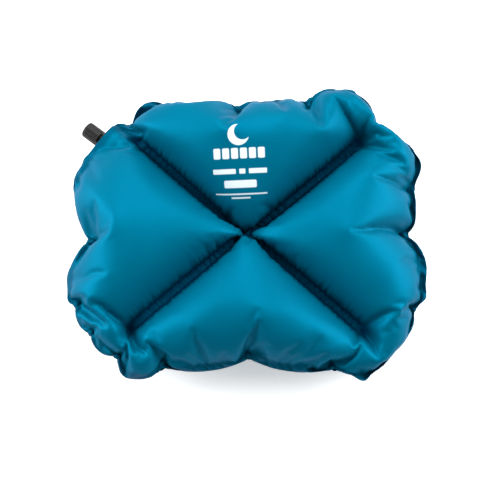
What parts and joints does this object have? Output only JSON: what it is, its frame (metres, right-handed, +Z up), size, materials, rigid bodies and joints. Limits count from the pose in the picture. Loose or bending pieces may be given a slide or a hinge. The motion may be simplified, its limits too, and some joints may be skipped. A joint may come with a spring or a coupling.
{
  "type": "inflatable camp pillow",
  "caption": "Inflatable rectangular camp pillow of two coated-fabric panels with an X-shaped weld and a twist valve in one corner.",
  "frame": {"origin": "middle of the overall box, on the surface that the pillow lies on", "axes": "+X along the pillow's longer side, +Y across it towards the top edge, +Z up through its thickness; the valve is in the -X +Y corner"},
  "size_m": [0.365, 0.3, 0.1],
  "materials": {
    "panel_fabric": "satin coated polyester, teal blue",
    "valve_plastic": "moulded, matt black",
    "cap_plastic": "moulded with fine grip ribs, matt black",
    "seal_rubber": "smooth"
  },
  "bodies": {
    "pillow": {"top_panel": "panel_fabric", "bottom_panel": "panel_fabric", "valve_body": "valve_plastic", "valve_plug": "valve_plastic", "seat_seal": "seal_rubber"},
    "sliding_seal": {"sliding_seal": "seal_rubber"},
    "valve_cap": {"valve_cap": "cap_plastic"}
  },
  "joints": [
    {"name": "cap_lift", "type": "slide", "parent": "pillow", "child": "sliding_seal", "axis": [-0.7986, 0.6018, 0], "range_m": [0, 0.003]},
    {"name": "cap_turn", "type": "hinge", "parent": "sliding_seal", "child": "valve_cap", "pos_m": [-0.15919, 0.10242, 0.0485], "axis": [-0.7986, 0.6018, 0], "range_deg": [0, 360]}
  ],
  "couplings": [
    {"joint": "cap_lift", "follows": "cap_turn", "m_per_rad": 0.00047746}
  ]
}
